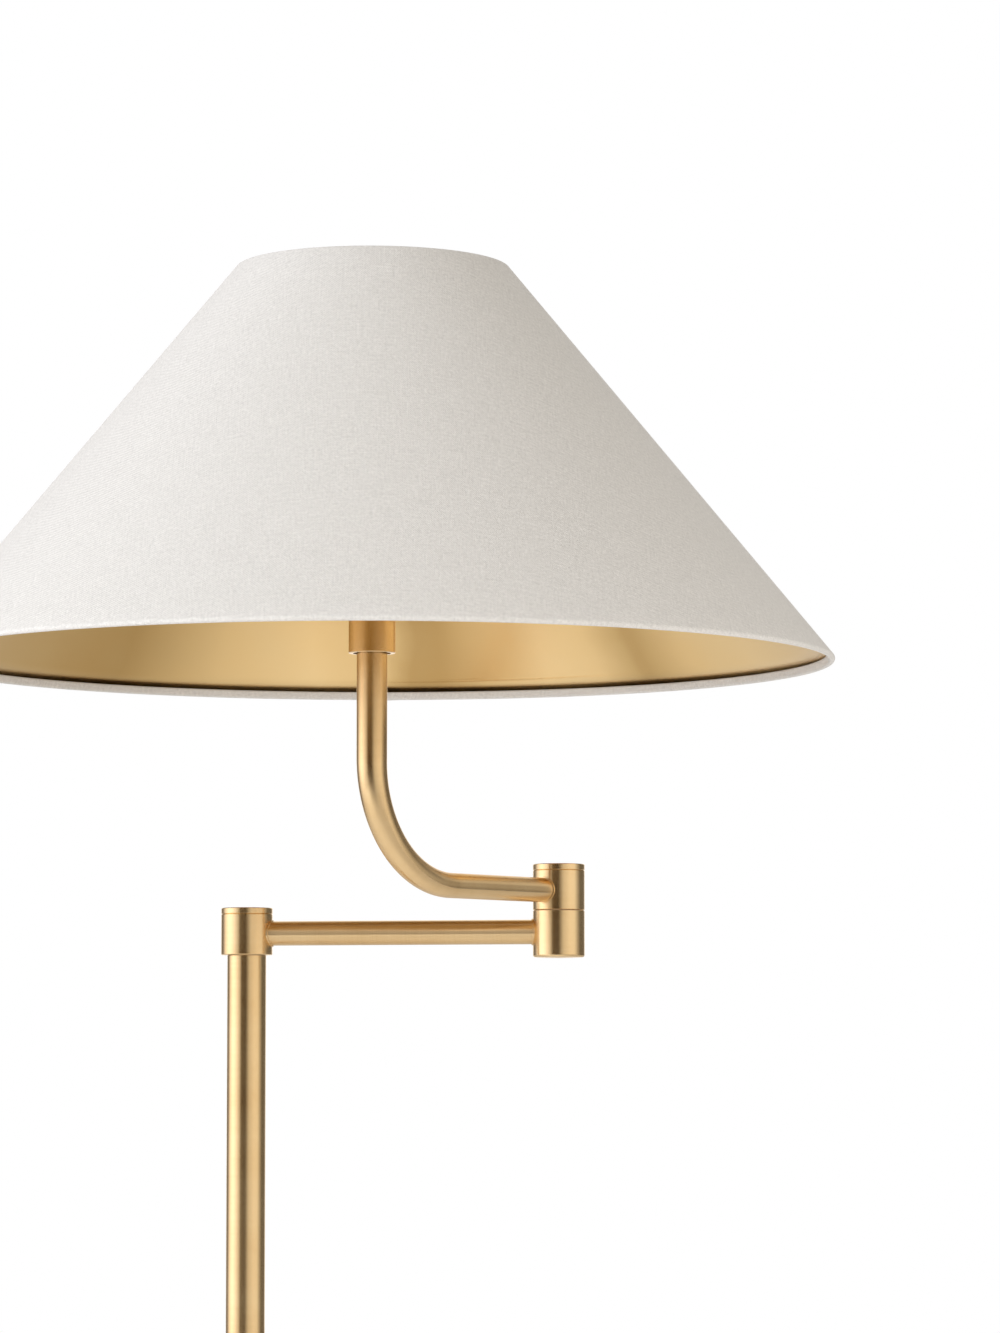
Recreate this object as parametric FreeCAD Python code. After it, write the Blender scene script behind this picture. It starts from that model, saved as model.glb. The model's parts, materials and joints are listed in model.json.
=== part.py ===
import FreeCAD, Part
import math
import os

from FreeCAD import Placement, Rotation, Vector

# Swing arm wall sconce with a cone shade. Millimetres, +Z up, X to the right, the wall is the plane Y = 0
# and the room is towards -Y. The origin is the centre of the junction box slots on the wall.

# ---- Driving dimensions ----
STAND_OFF = 105.0              # wall to the axis of the post
SHADE_RIM_Z = 411.3            # lowest edge of the shade
SHADE_BOTTOM_R = 229.6         # outside of the bottom hem
SHADE_TOP_R = 68.8             # outside of the top hem
SHADE_HEIGHT = 198.7
LOWER_ARM_LENGTH = 165.2       # shoulder axis to elbow axis
UPPER_ARM_LENGTH = 146.25      # elbow axis to shade axis
LOWER_ARM_ANGLE = -10.0        # heading of the lower arm in plan, from +X
UPPER_ARM_ANGLE = -130.0       # heading of the upper arm in plan, from +X
HARP_ANGLE = 0.0               # heading of the harp's plane
KNOB_ANGLE = -90.0             # heading of the switch knob
LOWER_ARM_Z = 282.0            # axis of the lower arm
UPPER_ARM_Z = 303.2            # axis of the level part of the upper arm
UPPER_BEND_R = 60.5

# ---- Knuckles ----
KNUCKLE_R = 13.4
KNUCKLE_BORE_R = 11.2
KNUCKLE_WEB = 3.5              # floor that turns on the pivot
CAP_T = 3.2
CAP_SPIGOT = 3.0
SHOULDER_BOTTOM = 270.8
SHOULDER_TOP = 295.3
ELBOW_BOTTOM = 268.8
ELBOW_SPLIT = 292.7
ELBOW_TOP = 316.9
ELBOW_FLOOR = 2.5
ELBOW_EDGE_R = 1.3
PIVOT_PLATE_T = 4.0
THRUST_T = 0.35                # nylon washer that shows as the seam of a knuckle
THRUST_GAP = 0.05
EDGE_BREAK = 0.35

# ---- Hollow pivots and their stacks ----
PIVOT_R = 5.0
PIVOT_BORE_R = 3.5
PIVOT_FIT = 0.05
PIVOT_FLAT = 4.5               # half the width across the two flats
STOP_WASHER_T = 0.8
STOP_DISC_R = 7.2
STOP_TAB_R = 10.5
STOP_GAP = 0.1
SPRING_WASHER_T = 0.6
SPRING_WASHER_RISE = 0.4
SPRING_WASHER_R = 8.0
NUT_T = 2.5
NUT_FLATS = 14.0
STOP_PIN_R = 1.1
STOP_PIN_RING_R = 9.4
STOP_PIN_FREE = 1.2
STOP_PIN_SUNK = 0.5            # its foot is this far above the underside
SHOULDER_TRAVEL = 180.0
ELBOW_TRAVEL = 330.0
STOP_SLACK = 0.6               # degrees between pin and tab at the end of the travel
PIVOT_CLEAR = 0.2              # round the pivot in plain washers, and of its end past a nut
CAP_SPIGOT_WALL = 1.2
HEX_BEVEL = 0.5
SMALL_BREAK = 0.2
SEAM_BREAK = 0.35              # both edges of the groove where a cap meets its housing
CUT_PAST = 2.0                 # how far a side hole's cutter reaches past a knuckle

# ---- Tubes ----
POST_R = 10.15
POST_WALL = 1.6
PLUG_H = 10.0                  # plug in the top of the post that carries the pivot
LOWER_TUBE_R = 6.35
TUBE_WALL = 1.3
UPPER_TUBE_R = 6.35            # at the elbow
UPPER_TUBE_TOP_R = 7.65        # under the lampholder
BEND_SECTIONS = 10
TUBE_SEAT = 10.9               # a tube's end lies this far from the axis of its knuckle
BRAZE_H = 0.55
BRAZE_W = 0.7
LEAD_R = 1.7
LEAD_BEND_R = 5.0

# ---- Wall bracket ----
BAR_T = 2.0
BAR_HALF_LENGTH = 53.0
BAR_HALF_WIDTH = 10.0
BOX_SLOT_SPACING = 88.9        # 3 1/2 in junction box
BOX_SLOT_LENGTH = 12.0
BOX_SLOT_R = 2.4
BAR_WIRE_HOLE_R = 8.0
STUD_X = 30.0
STUD_R = 2.0
STUD_LENGTH = 26.5
CAP_NUT_FLATS = 8.0
CAP_NUT_HEX_H = 3.6
GROUND_SCREW_X = 19.0
CANOPY_R = 58.0
CANOPY_DEPTH = 22.0
CANOPY_WALL = 1.2
CANOPY_EDGE_R = 7.0
BACKING_R = 44.0
BACKING_T = 3.0
STEM_R = 8.0
STEM_BORE_R = 4.6
STEM_THREAD_R = 6.5
STEM_THREAD_END = 10.0         # distance of the threaded end from the wall
LOCKNUT_T = 3.5
LOCKNUT_FLATS = 18.0
STEM_COLLAR_R = 13.0
STEM_COLLAR_T = 5.0
HUB_BOTTOM = -20.0
HUB_TOP = 26.0
HUB_SHELF = 11.0               # the foot of the post stands here
HUB_LEDGE_T = 2.0
SET_SCREW_Z = 18.5
SET_SCREW_R = 2.0
SET_SCREW_KEY = 2.0
SET_SCREW_SOLID = 1.4          # tip to the floor of the key's socket
SET_SCREW_BELOW = 0.4          # the screw ends this far inside the hub
SET_SCREW_HEADINGS = (30.0, 150.0)
CONNECTOR_Y = -7.5
CONNECTOR_Z = 18.0
CONNECTOR_GRIP = 6.0           # length of conductor inside a connector
CONDUCTOR_R = 1.1
CONDUCTOR_BEND_R = 1.3

# ---- Lampholder, harp and bulb ----
COLLAR_R = 11.7
COLLAR_BOTTOM = 416.6
COLLAR_TOP = 434.0
COLLAR_RECESS_R = 9.4
COLLAR_RECESS = 3.0
COLLAR_BREAK = 0.3
SOCKET_NIPPLE_R = 4.8
SOCKET_NIPPLE_BORE_R = 3.2
TUBE_TOP = 425.0
SADDLE_T = 1.5
SADDLE_SPAN = 26.5             # socket axis to an ear
SADDLE_WIDTH = 11.0
SADDLE_EAR = 15.0
SADDLE_DISC_R = 9.0
SLEEVE_R = 2.2
SLEEVE_H = 8.0
SLEEVE_BELOW = 9.0             # foot of a sleeve below the top of the ear
HOLDER_R = 16.8
HOLDER_WALL = 0.5
HOLDER_CAP_H = 17.0
HOLDER_TOP = 492.0
HOLDER_BASE = COLLAR_TOP + SADDLE_T
SWITCH_BLOCK_R = 13.5
SWITCH_BLOCK_H = 12.5
SPINDLE_R = 2.4
SPINDLE_HOLE_R = 3.4
CONTACT_R = 4.0
INSULATOR_R = 16.0
SCREW_SHELL_R = 13.9
SCREW_SHELL_WALL = 0.4
SCREW_SHELL_UP = 20.5          # above the foot of the lampholder
SCREW_PITCH = 3.6
SCREW_DEPTH = 0.8
KNOB_Z = 445.5
KNOB_REACH = 37.0
PADDLE_END = 13.0              # foot of the grip to the end of the paddle
PADDLE_WIDTH = 12.0
PADDLE_T = 2.6
PADDLE_CORNER_R = 2.2
HARP_WIRE_R = 1.6
HARP_HALF_WIDTH = 47.0
HARP_TOP = 594.0
HARP_FLARE_Z = 466.0
HARP_WIDE_FROM = 502.0
HARP_WIDE_TO = 556.0
HARP_SHOULDER = 22.0
HARP_BEND_R = 16.0
HARP_SEAT_R = 4.5
HARP_STUD_R = 3.1
HARP_STUD_LENGTH = 10.0
BULB_R = 30.0
BULB_CENTRE_Z = 549.0
BULB_SEAT = 22.2               # foot of the screw base above the foot of the lampholder
BULB_BASE_H = 22.0
BULB_SCREW_R = 12.6
BULB_NECK_R = 12.4
BULB_GLASS_T = 1.0
BULB_TOUCH_ANGLE = -38.0       # where the neck's flare meets the ball

# ---- Shade ----
HEM_R = 1.6                    # the linen rolls round the ring wires, flush with the wall
RING_R = 1.1
FABRIC_T = 1.0                 # linen and the card behind it
LINING_T = 0.4
SPIDER_DROP_Z = 596.6          # centre of the spider's washer
SPIDER_WIRE_R = 1.6
SPIDER_WASHER_R = 9.5
SPIDER_HOLE_R = 3.4
SPIDER_WASHER_T = 1.4
SPIDER_KNEE_R = 50.0
SPIDER_BEND_R = 8.0
FINIAL_GAP = 0.95              # thread left showing between the spider's washer and the finial
SPIDER_HEADINGS = (90.0, 210.0, 330.0)

# ---- Derived places ----
UP = Vector(0, 0, 1)
TO_ROOM = Vector(0, -1, 0)


def heading(angle):
    """Unit vector in plan at an angle from +X."""
    return Vector(math.cos(math.radians(angle)), math.sin(math.radians(angle)), 0)


LOWER_DIR = heading(LOWER_ARM_ANGLE)
UPPER_DIR = heading(UPPER_ARM_ANGLE)
HARP_DIR = heading(HARP_ANGLE)
KNOB_DIR = heading(KNOB_ANGLE)
SHOULDER = Vector(0, -STAND_OFF, 0)
ELBOW = SHOULDER + LOWER_DIR * LOWER_ARM_LENGTH
SHADE = ELBOW + UPPER_DIR * UPPER_ARM_LENGTH
POST_TOP = SHOULDER_BOTTOM - THRUST_T - THRUST_GAP
UPPER_HOUSING_BOTTOM = ELBOW_SPLIT + THRUST_T + THRUST_GAP
HEM_BOTTOM_RING_R = SHADE_BOTTOM_R - HEM_R
HEM_BOTTOM_Z = SHADE_RIM_Z + HEM_R
HEM_TOP_RING_R = SHADE_TOP_R - HEM_R
HEM_TOP_Z = SHADE_RIM_Z + SHADE_HEIGHT - HEM_R
HARP_FOOT = SADDLE_SPAN + SLEEVE_R


# ---- Small modelling helpers ----
def at(point, z):
    """The point's place in plan, at height z."""
    return Vector(point.x, point.y, z)


def cylinder(radius, base, axis, length):
    return Part.makeCylinder(radius, length, base, axis)


def tube(outer, inner, base, axis, length):
    return cylinder(outer, base, axis, length).cut(cylinder(inner, base, axis, length))


def aimed(shape, base, axis=UP):
    """Move a shape that was drawn about +Z at the origin to its place."""
    shape.Placement = Placement(base, Rotation(UP, axis))
    return shape


def turned(profile, base, axis=UP):
    """Lathe part from a closed outline of (radius, height) points."""
    points = [Vector(radius, 0, height) for radius, height in profile]
    face = Part.Face(Part.makePolygon(points + points[:1]))
    return aimed(face.revolve(Vector(0, 0, 0), UP, 360), base, axis)


def rounded(shape, radius, edge_radius, edge_z):
    """Fillet the circular edges of a given radius at a given height."""
    chosen = []
    for edge in shape.Edges:
        curve = edge.Curve
        if isinstance(curve, Part.Circle) and abs(curve.Radius - edge_radius) < 0.01:
            if abs(curve.Center.z - edge_z) < 0.01:
                chosen.append(edge)
    return shape.makeFillet(radius, chosen)


def hex_prism(across_flats, base, axis, length):
    corner = across_flats / math.sqrt(3.0)
    points = [heading(60.0 * step) * corner for step in range(7)]
    prism = Part.Face(Part.makePolygon(points)).extrude(UP * length)
    bevel = turned([(0, 0), (corner - HEX_BEVEL, 0), (corner, HEX_BEVEL), (corner, length - HEX_BEVEL),
                    (corner - HEX_BEVEL, length), (0, length)], Vector(0, 0, 0))
    return aimed(prism.common(bevel), base, axis)


def hex_nut(across_flats, hole_r, base, axis, length):
    return hex_prism(across_flats, base, axis, length).cut(cylinder(hole_r, base, axis, length))


def rounded_path(points, bend_r):
    """Straight runs joined by tangent arcs."""
    edges = []
    start = points[0]
    for index in range(1, len(points) - 1):
        corner = points[index]
        back = (points[index - 1] - corner).normalize()
        ahead = (points[index + 1] - corner).normalize()
        half_turn = (math.pi - back.getAngle(ahead)) / 2.0
        setback = bend_r * math.tan(half_turn)
        inward = (back + ahead).normalize()
        middle = corner + inward * (bend_r / math.cos(half_turn) - bend_r)
        edges.append(Part.makeLine(start, corner + back * setback))
        edges.append(Part.Arc(corner + back * setback, middle, corner + ahead * setback).toShape())
        start = corner + ahead * setback
    edges.append(Part.makeLine(start, points[-1]))
    return Part.Wire(edges)


def rod(points, bend_r, radius):
    """Round bar or lead along a path of straight runs and arcs."""
    path = rounded_path(points, bend_r)
    section = Part.Wire(Part.makeCircle(radius, points[0], points[1] - points[0]))
    return path.makePipeShell([section], True, False)


def save(name, *solids):
    shape = solids[0] if len(solids) == 1 else Part.makeCompound(list(solids))
    shape.exportStep("parts/" + name + ".step")
    print(name, "solids", len(shape.Solids), "volume", round(shape.Volume, 1), "valid", shape.isValid())


# ---- Parts that both knuckles use ----
def knuckle_cap(centre, top):
    """Turned lid with a spigot that presses into the knuckle."""
    lid = turned([(0, -CAP_T), (KNUCKLE_R - SEAM_BREAK, -CAP_T), (KNUCKLE_R, -CAP_T + SEAM_BREAK),
                  (KNUCKLE_R, -EDGE_BREAK), (KNUCKLE_R - EDGE_BREAK, 0), (0, 0)], at(centre, top))
    foot = at(centre, top - CAP_T - CAP_SPIGOT)
    return lid.fuse(tube(KNUCKLE_BORE_R, KNUCKLE_BORE_R - CAP_SPIGOT_WALL, foot, UP, CAP_SPIGOT))


def turning_housing(centre, bottom, top, arm_dir, arm_z, arm_r):
    """Cup whose floor turns on the pivot, with a hole in its side for an arm."""
    lip = top - CAP_T
    floor_top = bottom + KNUCKLE_WEB
    hole_r = PIVOT_R + PIVOT_FIT
    cup = turned([(hole_r, bottom), (KNUCKLE_R - EDGE_BREAK, bottom), (KNUCKLE_R, bottom + EDGE_BREAK),
                  (KNUCKLE_R, lip - SEAM_BREAK), (KNUCKLE_R - SEAM_BREAK, lip), (KNUCKLE_BORE_R, lip),
                  (KNUCKLE_BORE_R, floor_top), (hole_r, floor_top)], centre)
    cup = cup.cut(cylinder(arm_r, at(centre, arm_z), arm_dir, KNUCKLE_R + CUT_PAST))
    return cup.cut(cylinder(STOP_PIN_R, pin_place(centre, arm_dir, bottom), UP, KNUCKLE_WEB))


def pin_place(centre, arm_dir, z):
    """The stop pin stands on the side away from the arm."""
    return at(centre - arm_dir * STOP_PIN_RING_R, z)


def stop_pin(centre, arm_dir, bottom):
    foot = pin_place(centre, arm_dir, bottom + STOP_PIN_SUNK)
    return cylinder(STOP_PIN_R, foot, UP, KNUCKLE_WEB - STOP_PIN_SUNK + STOP_PIN_FREE)


def hollow_pivot(centre, bottom, flats_from, top):
    """Hollow threaded pivot with two flats that key the stop washer."""
    pivot = tube(PIVOT_R, PIVOT_BORE_R, at(centre, bottom), UP, top - bottom)
    side = 2.0 * PIVOT_R
    for sign in (-1.0, 1.0):
        corner = Vector(-side, PIVOT_FLAT if sign > 0 else -PIVOT_FLAT - side, flats_from - bottom)
        flat = Part.makeBox(2.0 * side, side, top - flats_from, corner)
        pivot = pivot.cut(aimed(flat, at(centre, bottom)))
    return pivot


def keyed_hole(thickness):
    """Round hole with two flats that fits over the pivot."""
    hole = cylinder(PIVOT_R + PIVOT_FIT, Vector(0, 0, 0), UP, thickness)
    half = PIVOT_FLAT + PIVOT_FIT
    reach = 2.0 * PIVOT_R
    return hole.common(Part.makeBox(2.0 * reach, 2.0 * half, thickness, Vector(-reach, -half, 0)))


def stop_washer(centre, z, tab_heading, travel):
    """Washer with a tab that meets the stop pin at both ends of the travel."""
    pin_half = math.degrees(math.asin(STOP_PIN_R / STOP_PIN_RING_R))
    tab_half = 180.0 - travel / 2.0 - pin_half - STOP_SLACK
    disc = cylinder(STOP_DISC_R, Vector(0, 0, 0), UP, STOP_WASHER_T)
    sector = Part.makeCylinder(STOP_TAB_R, STOP_WASHER_T, Vector(0, 0, 0), UP, 2.0 * tab_half)
    sector.Placement = Placement(Vector(0, 0, 0), Rotation(UP, tab_heading - tab_half))
    return aimed(disc.fuse(sector).cut(keyed_hole(STOP_WASHER_T)), at(centre, z))


def spring_washer(centre, z):
    """Slightly conical spring washer that sets the friction of the joint."""
    inner = PIVOT_R + PIVOT_CLEAR
    top = SPRING_WASHER_T + SPRING_WASHER_RISE
    return turned([(inner, SPRING_WASHER_RISE), (SPRING_WASHER_R, 0), (SPRING_WASHER_R, SPRING_WASHER_T),
                   (inner, top)], at(centre, z))


def thrust_washer(centre, z, outer):
    return tube(outer, PIVOT_R + PIVOT_CLEAR, at(centre, z), UP, THRUST_T)


def braze_ring(centre, arm_dir, arm_z, arm_r):
    """Fillet of braze that follows the knuckle's round side."""
    band = tube(arm_r + BRAZE_H, arm_r, at(centre, arm_z), arm_dir, KNUCKLE_R + 5.0)
    height = 4.0 * arm_r
    shell = tube(KNUCKLE_R + BRAZE_W, KNUCKLE_R, at(centre, arm_z - height / 2.0), UP, height)
    return band.common(shell)


def pivot_stack(name, centre, floor_top, tab_heading, travel):
    """Stop washer and spring washer above the floor of a knuckle. Returns the height where the nut sits."""
    z = floor_top + STOP_GAP
    save(name + "_stop_washer", stop_washer(centre, z, tab_heading, travel))
    z += STOP_WASHER_T
    save(name + "_spring_washer", spring_washer(centre, z))
    return z + SPRING_WASHER_T + SPRING_WASHER_RISE


# ---- Wall bracket ----
def wall_crossbar():
    straight = BAR_HALF_LENGTH - BAR_HALF_WIDTH
    corner = Vector(-straight, -BAR_T, -BAR_HALF_WIDTH)
    bar = Part.makeBox(2.0 * straight, BAR_T, 2.0 * BAR_HALF_WIDTH, corner)
    for side in (-1.0, 1.0):
        bar = bar.fuse(cylinder(BAR_HALF_WIDTH, Vector(side * straight, 0, 0), TO_ROOM, BAR_T))
    bar = bar.removeSplitter().cut(cylinder(BAR_WIRE_HOLE_R, Vector(0, 0, 0), TO_ROOM, BAR_T))
    bar = bar.cut(cylinder(STUD_R, Vector(GROUND_SCREW_X, 0, 0), TO_ROOM, BAR_T))
    for side in (-1.0, 1.0):
        bar = bar.cut(cylinder(STUD_R, Vector(side * STUD_X, 0, 0), TO_ROOM, BAR_T))
        bar = bar.cut(slot_cutter(side * BOX_SLOT_SPACING / 2.0))
    save("wall_crossbar", bar)


def slot_cutter(x):
    reach = BOX_SLOT_LENGTH / 2.0 - BOX_SLOT_R
    corner = Vector(x - reach, -BAR_T, -BOX_SLOT_R)
    cutter = Part.makeBox(2.0 * reach, BAR_T, 2.0 * BOX_SLOT_R, corner)
    for side in (-1.0, 1.0):
        cutter = cutter.fuse(cylinder(BOX_SLOT_R, Vector(x + side * reach, 0, 0), TO_ROOM, BAR_T))
    return cutter


def canopy_fasteners():
    studs = []
    nuts = []
    for side in (-1.0, 1.0):
        foot = Vector(side * STUD_X, 0, 0)
        studs.append(cylinder(STUD_R, foot, TO_ROOM, STUD_LENGTH))
        nuts.append(cap_nut(foot + TO_ROOM * CANOPY_DEPTH))
    save("canopy_studs", *studs)
    save("canopy_cap_nuts", *nuts)
    save("ground_screw", ground_screw())


def ground_screw():
    """Slotted screw in the crossbar for the earth wire."""
    head_r = 3.6
    head_height = 2.4
    slot_width = 0.9
    seat = Vector(GROUND_SCREW_X, -BAR_T, 0)
    head = turned([(0, 0), (head_r, 0), (head_r, 1.0), (head_r - 1.0, head_height - 0.2), (0, head_height)],
                  seat, TO_ROOM)
    slot_corner = seat + Vector(-head_r - 1.0, -head_height - SMALL_BREAK, -slot_width / 2.0)
    slot = Part.makeBox(2.0 * head_r + 2.0, 1.0, slot_width, slot_corner)
    shank = cylinder(STUD_R, Vector(GROUND_SCREW_X, 0, 0), TO_ROOM, BAR_T)
    return head.cut(slot).fuse(shank)


def cap_nut(base):
    """Domed nut over the end of a stud."""
    body = hex_prism(CAP_NUT_FLATS, base, TO_ROOM, CAP_NUT_HEX_H)
    foot = CAP_NUT_HEX_H - SMALL_BREAK
    dome = turned([(0, foot), (3.9, foot), (3.7, 4.8), (2.9, 6.2), (1.6, 7.1), (0, 7.4)], base, TO_ROOM)
    return body.fuse(dome).cut(cylinder(STUD_R, base, TO_ROOM, STUD_LENGTH - CANOPY_DEPTH))


def canopy():
    """Spun dish that stands on the wall."""
    wall = Vector(0, 0, 0)
    inner_r = CANOPY_R - CANOPY_WALL
    inner_depth = CANOPY_DEPTH - CANOPY_WALL
    outer = rounded(cylinder(CANOPY_R, wall, UP, CANOPY_DEPTH), CANOPY_EDGE_R, CANOPY_R, CANOPY_DEPTH)
    inner_edge_r = CANOPY_EDGE_R - CANOPY_WALL
    inner = rounded(cylinder(inner_r, wall, UP, inner_depth), inner_edge_r, inner_r, inner_depth)
    dish = aimed(outer.cut(inner), wall, TO_ROOM)
    plate = cylinder(BACKING_R, TO_ROOM * (inner_depth - BACKING_T), TO_ROOM, BACKING_T)
    stud_hole_r = STUD_R + 0.3
    for hole_r, x in ((STEM_THREAD_R, 0.0), (stud_hole_r, -STUD_X), (stud_hole_r, STUD_X)):
        hole = cylinder(hole_r, Vector(x, 0, 0), TO_ROOM, CANOPY_DEPTH + CUT_PAST)
        dish = dish.cut(hole)
        plate = plate.cut(hole)
    save("canopy", dish)
    save("backing_plate", plate)


def bracket_stem():
    hub_side = STAND_OFF - KNUCKLE_BORE_R
    stem = cylinder(STEM_R, TO_ROOM * CANOPY_DEPTH, TO_ROOM, hub_side - CANOPY_DEPTH)
    thread = cylinder(STEM_THREAD_R, TO_ROOM * STEM_THREAD_END, TO_ROOM, CANOPY_DEPTH - STEM_THREAD_END)
    bore = cylinder(STEM_BORE_R, Vector(0, 0, 0), TO_ROOM, STAND_OFF)
    save("bracket_stem", stem.fuse(thread).cut(bore))
    collar = turned([(STEM_R, 0), (STEM_COLLAR_R, 0), (STEM_COLLAR_R, 1.6), (STEM_COLLAR_R - 0.6, 2.2),
                     (STEM_R + 1.8, STEM_COLLAR_T - 0.5), (STEM_R + 1.3, STEM_COLLAR_T),
                     (STEM_R, STEM_COLLAR_T)], TO_ROOM * CANOPY_DEPTH, TO_ROOM)
    save("stem_collar", collar)
    nut_y = CANOPY_DEPTH - CANOPY_WALL - BACKING_T - LOCKNUT_T
    save("stem_locknut", hex_nut(LOCKNUT_FLATS, STEM_THREAD_R, TO_ROOM * nut_y, TO_ROOM, LOCKNUT_T))


def post_hub():
    """Hub at the foot of the post, with the stem brazed into its side."""
    lead_bore = POST_R - POST_WALL
    lip = HUB_BOTTOM + CAP_T
    ledge = HUB_SHELF - HUB_LEDGE_T
    hub = turned([(KNUCKLE_BORE_R, lip), (KNUCKLE_R - SEAM_BREAK, lip), (KNUCKLE_R, lip + SEAM_BREAK),
                  (KNUCKLE_R, HUB_TOP - EDGE_BREAK), (KNUCKLE_R - EDGE_BREAK, HUB_TOP), (POST_R, HUB_TOP),
                  (POST_R, HUB_SHELF), (lead_bore, HUB_SHELF), (lead_bore, ledge), (KNUCKLE_BORE_R, ledge)],
                 SHOULDER)
    hub = hub.cut(cylinder(STEM_R, SHOULDER, TO_ROOM * -1.0, KNUCKLE_R + CUT_PAST))
    for angle in SET_SCREW_HEADINGS:
        hub = hub.cut(cylinder(SET_SCREW_R, at(SHOULDER, SET_SCREW_Z), heading(angle), KNUCKLE_R + CUT_PAST))
    save("post_hub", hub.fuse(braze_ring(SHOULDER, TO_ROOM * -1.0, 0.0, STEM_R)))
    save("hub_set_screws", *[set_screw(heading(angle)) for angle in SET_SCREW_HEADINGS])
    cap = knuckle_cap(Vector(0, 0, 0), 0.0)
    cap.rotate(Vector(0, 0, 0), Vector(1, 0, 0), 180)
    cap.translate(at(SHOULDER, HUB_BOTTOM))
    save("hub_bottom_cap", cap)


def set_screw(out):
    """Headless screw with a hexagon socket. Its cupped tip bears on the post."""
    tip = at(SHOULDER + out * POST_R, SET_SCREW_Z)
    socket = hex_prism(SET_SCREW_KEY, tip + out * SET_SCREW_SOLID, out, 2.0)
    screw = cylinder(SET_SCREW_R, tip, out, KNUCKLE_R - POST_R - SET_SCREW_BELOW).cut(socket)
    return screw.cut(cylinder(POST_R, at(SHOULDER, HUB_SHELF), UP, HUB_TOP - HUB_SHELF))


def post():
    save("post", tube(POST_R, POST_R - POST_WALL, at(SHOULDER, HUB_SHELF), UP, POST_TOP - HUB_SHELF))
    plug_foot = at(SHOULDER, POST_TOP - PLUG_H)
    save("post_top_plug", tube(POST_R - POST_WALL, PIVOT_R, plug_foot, UP, PLUG_H))


def canopy_wiring():
    """Two conductors from the end of the lead to the wire connectors behind the canopy."""
    conductors = []
    connectors = []
    for side in (-1.0, 1.0):
        beside = side * CONDUCTOR_BEND_R
        turn = Vector(0, CONNECTOR_Y, beside)
        start = Vector(0, -STEM_THREAD_END + 0.2, beside)
        mouth = Vector(0, CONNECTOR_Y, side * (CONNECTOR_Z + CONNECTOR_GRIP))
        conductors.append(rod([start, turn, mouth], CONDUCTOR_BEND_R, CONDUCTOR_R))
        outline = [(CONDUCTOR_R, 0), (5.2, 0), (5.6, 3.0), (4.6, 14.0), (3.4, 17.5), (0, 18.5),
                   (0, CONNECTOR_GRIP), (CONDUCTOR_R, CONNECTOR_GRIP)]
        connectors.append(turned(outline, Vector(0, CONNECTOR_Y, side * CONNECTOR_Z), UP * side))
    save("supply_conductors", *conductors)
    save("wire_connectors", *connectors)


def wall_mount():
    wall_crossbar()
    canopy_fasteners()
    canopy()
    bracket_stem()
    post_hub()
    post()
    canopy_wiring()
    floor_top = SHOULDER_BOTTOM + KNUCKLE_WEB
    nut_z = pivot_stack("shoulder", SHOULDER, floor_top, -90.0, SHOULDER_TRAVEL)
    save("shoulder_nut", hex_nut(NUT_FLATS, PIVOT_R, at(SHOULDER, nut_z), UP, NUT_T))
    pivot_top = nut_z + NUT_T + PIVOT_CLEAR
    save("shoulder_pivot", hollow_pivot(SHOULDER, POST_TOP - PLUG_H + 1.0, floor_top, pivot_top))
    save("shoulder_thrust_washer", thrust_washer(SHOULDER, POST_TOP, POST_R - 0.3))
    lead_start = Vector(0, -STEM_THREAD_END, 0)
    lead = rod([lead_start, SHOULDER, at(SHOULDER, SHOULDER_BOTTOM + 2.5)], LEAD_BEND_R, LEAD_R)
    save("post_lead", lead)


# ---- Lower arm ----
def elbow_lower_housing():
    """Closed cup with a rounded bottom edge. The lower arm is brazed into its side."""
    height = ELBOW_SPLIT - ELBOW_BOTTOM
    cup = rounded(cylinder(KNUCKLE_R, Vector(0, 0, 0), UP, height), ELBOW_EDGE_R, KNUCKLE_R, 0.0)
    cup = cup.cut(cylinder(KNUCKLE_BORE_R, Vector(0, 0, ELBOW_FLOOR), UP, height))
    cup = aimed(cup, at(ELBOW, ELBOW_BOTTOM))
    return cup.cut(cylinder(LOWER_TUBE_R, at(ELBOW, LOWER_ARM_Z), LOWER_DIR * -1.0, KNUCKLE_R + CUT_PAST))


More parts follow.
